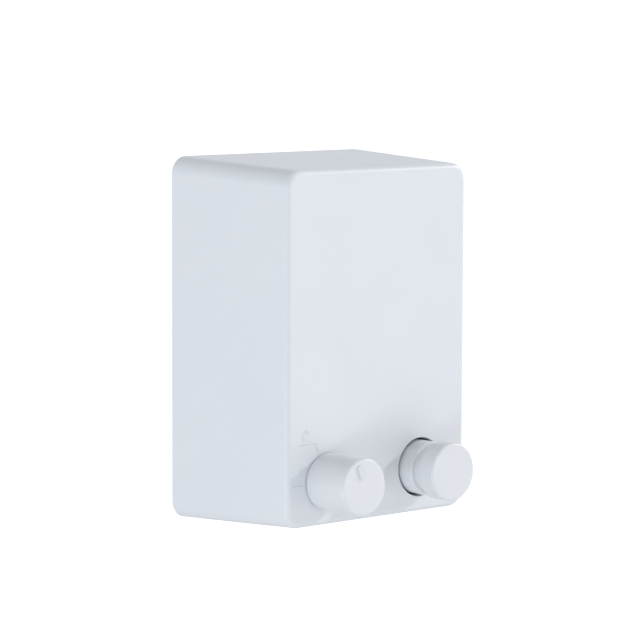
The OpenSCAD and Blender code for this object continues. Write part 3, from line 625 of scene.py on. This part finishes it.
def strandTree():
    # strands laid round a path: a star section that turns once in each lay
    tree, make, join, given, ids = treeWith("strands", (
        ("Path", "NodeSocketGeometry"), ("Strands", "NodeSocketInt"), ("Radius", "NodeSocketFloat"),
        ("Valley", "NodeSocketFloat"), ("Lay", "NodeSocketFloat"), ("Material", "NodeSocketMaterial")))
    curve = make("GeometryNodeMeshToCurve")
    join(given.outputs["Path"], curve.inputs["Mesh"])
    along = make("GeometryNodeSplineParameter")
    turns = make("ShaderNodeMath")
    turns.operation = "DIVIDE"
    join(along.outputs["Length"], turns.inputs[0])
    join(given.outputs["Lay"], turns.inputs[1])
    angle = make("ShaderNodeMath")
    angle.operation = "MULTIPLY"
    angle.inputs[1].default_value = 2 * math.pi
    join(turns.outputs[0], angle.inputs[0])
    twist = make("GeometryNodeSetCurveTilt")
    join(curve.outputs["Curve"], twist.inputs["Curve"])
    join(angle.outputs[0], twist.inputs["Tilt"])
    section = make("GeometryNodeCurveStar")
    join(given.outputs["Strands"], section.inputs["Points"])
    join(given.outputs["Valley"], section.inputs["Inner Radius"])
    join(given.outputs["Radius"], section.inputs["Outer Radius"])
    tube = make("GeometryNodeCurveToMesh")
    tube.inputs["Fill Caps"].default_value = True
    join(twist.outputs["Curve"], tube.inputs["Curve"])
    join(section.outputs["Curve"], tube.inputs["Profile Curve"])
    endTree(tree, make, join, given, tube.outputs["Mesh"])
    return tree, ids


def screwTree():
    tree, make, join, given, ids = treeWith("screwSet", (
        ("Places", "NodeSocketGeometry"), ("Screw", "NodeSocketObject"),
        ("Material", "NodeSocketMaterial")))
    screw = make("GeometryNodeObjectInfo")
    join(given.outputs["Screw"], screw.inputs["Object"])
    put = make("GeometryNodeInstanceOnPoints")
    join(given.outputs["Places"], put.inputs["Points"])
    join(screw.outputs["Geometry"], put.inputs["Instance"])
    endTree(tree, make, join, given, put.outputs["Instances"])
    return tree, ids


def grown(name, points, edges, treeAndIds, values):
    mesh = bpy.data.meshes.new(name)
    mesh.from_pydata(points, edges, [])
    piece = bpy.data.objects.new(name, mesh)
    bpy.context.scene.collection.objects.link(piece)
    tree, ids = treeAndIds
    growth = piece.modifiers.new("growth", "NODES")
    growth.node_group = tree
    for label, value in values.items():
        growth[ids[label]] = value
    applied(piece)
    work = bmesh.new()
    work.from_mesh(piece.data)
    bmesh.ops.recalc_face_normals(work, faces=work.faces)
    work.to_mesh(piece.data)
    work.free()
    return piece


# layers are (radius, turns, first depth, last depth); climb is the part of a turn from one to the next
line = {
    "strands": 6, "radius": 0.75, "valley": 0.67, "lay": 9.0, "step": 1.4, "depth": 24, "reel": (0, 18.5),
    "layers": ((32.77, 8, 30.12, 17.88), (34.10, 7, 18.65, 29.36), (35.43, 4, 30.12, 24.0)),
    "climb": 0.35, "leaveAngle": 120, "pulley": 6, "left": (-29.44, -38.4), "right": (14, 30),
    "runEnd": 47.0, "tailEnd": 58.5, "stretch": (47.05, 48.0),
}


def around(centre, radius, degrees):
    a = math.radians(degrees)
    return centre[0] + radius * math.cos(a), centre[1] + radius * math.sin(a)


def windingPath():
    # wound inwards from the far flange, back over itself, and off the drum
    layers, climb = line["layers"], line["climb"]
    turns = sum(layer[1] for layer in layers) + climb * (len(layers) - 1)
    angle = line["leaveAngle"] - 360 * turns
    path = []
    for i, (radius, count, first, last) in enumerate(layers):
        steps = int(count * 2 * math.pi * radius / line["step"])
        for k in range(steps + 1):
            share = k / steps
            path.append(onWall(*around(line["reel"], radius, angle + 360 * count * share),
                               first + (last - first) * share))
        angle += 360 * (count + climb)
        if i + 1 < len(layers):
            for k in range(1, 40):
                share = k / 40
                between = radius + (layers[i + 1][0] - radius) * share
                path.append(onWall(*around(line["reel"], between, angle - 360 * climb * (1 - share)),
                                   last + (layers[i + 1][2] - last) * share))
    return path


def runPath():
    # off the drum, round the left pulley, across, round the right pulley and out towards the port
    depth, bend = line["depth"], line["pulley"]
    outer = line["layers"][-1][0]
    corners = [onWall(*around(line["reel"], outer, a), depth) for a in range(line["leaveAngle"], 181, 3)]
    y = line["left"][1]
    corners += [onWall(*around(line["left"], bend, a), depth) for a in range(180, 271, 10)]
    for a in range(-90, 1, 10):
        x, out = around(line["right"], bend, a)
        corners.append(onWall(x, y - bend, out))
    x = line["right"][0]
    corners.append(onWall(x + bend, y - bend, line["runEnd"]))
    path = [corners[0]]
    for here, there in zip(corners, corners[1:]):
        parts = max(1, round((there - here).length / (line["step"] * mm)))
        path += [here.lerp(there, k / parts) for k in range(1, parts + 1)]
    return path


def tailPath():
    # close rings where the line is drawn out of the housing
    low, high = line["stretch"]
    depths = [low + (high - low) * k / 60 for k in range(61)]
    depths += [high + (line["tailEnd"] - high) * k / 12 for k in range(1, 13)]
    return [onWall(head["centre"][0], head["centre"][1], d) for d in depths]


strands = strandTree()


def laidLine(name, path):
    piece = grown(name, path, [(k, k + 1) for k in range(len(path) - 1)], strands, {
        "Strands": line["strands"], "Radius": line["radius"] * mm, "Valley": line["valley"] * mm,
        "Lay": line["lay"] * mm, "Material": looks["coatedWire"]})
    for face in piece.data.polygons:
        face.use_smooth = True
    piece.data.set_sharp_from_angle(angle=math.radians(60))
    return piece


for made, body, node in ((laidLine("lineWinding", windingPath()), "reel", "line_winding"),
                         (laidLine("lineRun", runPath()), "housing", "line_run")):
    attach(made, body)
    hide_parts(node)
tail = laidLine("lineTail", tailPath())
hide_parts("line_tail")
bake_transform(tail)
print("line made")


# towards is 1 where the shank points out from the wall, -1 where it points at the wall
screws = {
    "case_screws": {
        "body": "housing", "at": [(x, y) for x in (-36, 36) for y in (-54, 54)], "seat": 3, "towards": 1,
        "radius": 1.5, "length": 14, "headRadius": 2.8, "headHeight": 1.4},
    "frame_screws": {
        "body": "housing", "at": [(x, y) for x in (-34.5, 27) for y in (-33.5, -45.5)], "seat": 16.5,
        "towards": -1, "radius": 1.25, "length": 9, "headRadius": 2.4, "headHeight": 1.5},
    "arbor_screws": {
        "body": "housing", "at": [around((0, 18.5), 12.5, a) for a in (90, 210, 330)], "seat": 9,
        "towards": -1, "radius": 1.25, "length": 5, "headRadius": 2.0, "headHeight": 1.2},
    "dock_screws": {
        "body": "housing", "at": [around((20, -44.4), 15.7, a) for a in (45, 135)], "seat": 46.5,
        "towards": 1, "radius": 1.25, "length": 7, "headRadius": 2.4, "headHeight": 1.5},
    "spring_cover_screws": {
        "body": "reel", "at": [around((0, 18.5), 29.75, a) for a in (60, 180, 300)], "seat": 13.5,
        "towards": 1, "radius": 1.0, "length": 8, "headRadius": 1.9, "headHeight": 1.0},
}


def screwMaster(values):
    # pan head with a crossed recess, and a thread of plain rings
    side, radius, length = values["towards"], values["radius"], values["length"]
    wide, tall = values["headRadius"], values["headHeight"]
    pitch, root = 0.45 * radius, 0.8 * radius
    corners = [(0, -tall, 0), (wide, -tall, 0.55 * tall), (wide, 0, 0.1), (root, 0, 0)]
    for k in range(int((length - 1.2 * radius) / pitch)):
        corners += [(radius, (k + 0.9) * pitch, 0), (root, (k + 1.4) * pitch, 0)]
    corners += [(0.4 * radius, length, 0), (0, length, 0)]
    master = turned("screw", (0, 0), [(r, side * d, fillet) for r, d, fillet in corners], 32, 4)
    reach, slot = 0.55 * wide, 0.11 * wide
    low, high = sorted((-side * (tall + 1), -side * tall / 2))
    carve(master, [slab("recess", (-reach, -slot, low), (reach, slot, high)),
                   slab("recess", (-slot, -reach, low), (slot, reach, high))])
    return shade(master, "zincScrew")


screwSet = screwTree()
for node, values in screws.items():
    master = applied(screwMaster(values))
    made = grown(node + "Set", [onWall(x, y, values["seat"]) for x, y in values["at"]], [], screwSet,
                 {"Screw": master, "Material": looks["zincScrew"]})
    bpy.data.objects.remove(master)
    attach(made, values["body"])
    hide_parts(node)
print("screws made")


kept = {
    "rear_cover": ("coverWhite", 0.2), "wall_plate": ("sheetSteel", 0.15),
    "retaining_screw": ("zincScrew", 0.1), "arbor": ("shaftSteel", 0.15),
    "arbor_washer": ("shaftSteel", 0.08), "arbor_circlip": ("clipSteel", 0.08),
    "line_frame": ("frameGrey", 0.15), "left_pulley_pin": ("shaftSteel", 0.1),
    "right_pulley_pin": ("shaftSteel", 0.1), "pulley_clips": ("clipSteel", 0.06),
    "left_pulley": ("pulleyNatural", 0.1), "right_pulley": ("pulleyNatural", 0.1),
    "dock_cup": ("dockWhite", 0.15), "dock_bumper": ("bumperRubber", 0.25),
    "line_eyelet": ("eyeletSteel", 0.15), "clamp_anvil": ("clampSteel", 0.12),
    "anvil_screw": ("zincScrew", 0.1), "reel_drum": ("reelIvory", 0.15),
    "spring_cover": ("reelIvory", 0.12), "power_spring": ("springSteel", 0),
    "front_bush": ("bushBrass", 0.1), "rear_bush": ("bushBrass", 0.1),
    "line_ferrule": ("ferruleMetal", 0.15), "lock_spindle": ("shaftSteel", 0.1),
    "spindle_clip": ("clipSteel", 0.08), "friction_washer": ("clampSteel", 0.05),
    "clamp_slider": ("clampSteel", 0.12), "clamp_pad": ("bumperRubber", 0.1),
}


def finishNode(node, look, edge):
    piece = nodes[node]
    for slot in piece.material_slots:
        slot.material = looks[look]
    weld = piece.modifiers.new("weld", "WELD")
    weld.merge_threshold = 1e-6
    flat = piece.modifiers.new("flat", "DECIMATE")
    flat.decimate_type = "DISSOLVE"
    flat.angle_limit = math.radians(0.5)
    if edge:
        soft = piece.modifiers.new("soft", "BEVEL")
        soft.width = edge * mm
        soft.segments = 2
        soft.limit_method = "ANGLE"
        soft.angle_limit = math.radians(40)
        soft.use_clamp_overlap = True
    even = piece.modifiers.new("even", "WEIGHTED_NORMAL")
    even.keep_sharp = True


for node, (look, edge) in kept.items():
    finishNode(node, look, edge)
print("other pieces finished")


stage = {"floorDrop": 420, "floorSize": 600, "farGlow": 0.7, "roomLight": 0.83, "roomShade": 0.59,
         "keyPower": 27, "leftPower": 1.7}


def plainFloor():
    size = stage["floorSize"]
    corners = [(-size, -size, 0), (size, -size, 0), (size, size, 0), (-size, size, 0)]
    floor = meshPiece("floor", corners, [(0, 1, 2, 3)])
    floor.data.transform(Matrix.Translation((0, 0, -stage["floorDrop"] * mm)))
    made, tree, links = newMaterial("paleFloor")
    shader = tree["Principled BSDF"]
    point = objectPoint(tree, links)
    tone = noise(tree, links, point, 1.5, 2)
    links.new(twoTone(tree, links, tone, (0.66, 0.66, 0.67), (0.70, 0.70, 0.70)),
              shader.inputs["Base Color"])
    shader.inputs["Roughness"].default_value = 0.9
    # paler away from the object, so that the far floor and the room meet without a line
    away = tree.new("ShaderNodeVectorMath")
    away.operation = "LENGTH"
    links.new(point, away.inputs[0])
    shader.inputs["Emission Color"].default_value = (1, 1, 1, 1)
    links.new(spread(tree, links, away.outputs["Value"], 0.02, stage["farGlow"], 0.5, 1.5),
              shader.inputs["Emission Strength"])
    floor.data.materials.append(made)


def paleRoom():
    world = bpy.data.worlds.new("room")
    bpy.context.scene.world = world
    world.use_nodes = True
    tree, links = world.node_tree.nodes, world.node_tree.links
    tree.clear()
    seen = tree.new("ShaderNodeBackground")
    seen.inputs["Color"].default_value = (1, 1, 1, 1)
    seen.inputs["Strength"].default_value = 1.05
    given = tree.new("ShaderNodeBackground")
    given.inputs["Color"].default_value = (0.93, 0.96, 1, 1)
    # the room is darker above and to the left
    where = tree.new("ShaderNodeTexCoord")
    towards = tree.new("ShaderNodeVectorMath")
    towards.operation = "DOT_PRODUCT"
    towards.inputs[1].default_value = Vector((-0.35, -0.62, 0.70)).normalized()
    links.new(where.outputs["Generated"], towards.inputs[0])
    links.new(spread(tree, links, towards.outputs["Value"], stage["roomLight"], stage["roomShade"], 0.0, 0.9),
              given.inputs["Strength"])
    path = tree.new("ShaderNodeLightPath")
    pick = tree.new("ShaderNodeMixShader")
    out = tree.new("ShaderNodeOutputWorld")
    links.new(path.outputs["Is Camera Ray"], pick.inputs[0])
    links.new(given.outputs[0], pick.inputs[1])
    links.new(seen.outputs[0], pick.inputs[2])
    links.new(pick.outputs[0], out.inputs[0])


def areaLight(name, towards, distance, size, power, colour):
    lamp = bpy.data.lights.new(name, "AREA")
    lamp.shape = "DISK"
    lamp.size = size
    lamp.energy = power
    lamp.color = colour
    piece = bpy.data.objects.new(name, lamp)
    bpy.context.scene.collection.objects.link(piece)
    direction = Vector(towards).normalized()
    piece.matrix_world = (Matrix.Translation(direction * distance)
                          @ direction.to_track_quat("Z", "Y").to_matrix().to_4x4())


plainFloor()
paleRoom()
areaLight("key", (0.807, -0.407, 0.429), 2.6, 0.12, stage["keyPower"], (1, 0.985, 0.96))
areaLight("leftFill", (-0.80, -0.45, -0.35), 0.9, 0.25, stage["leftPower"], (0.90, 0.96, 1))
bpy.context.scene.view_settings.view_transform = "Standard"
print("light and floor made")
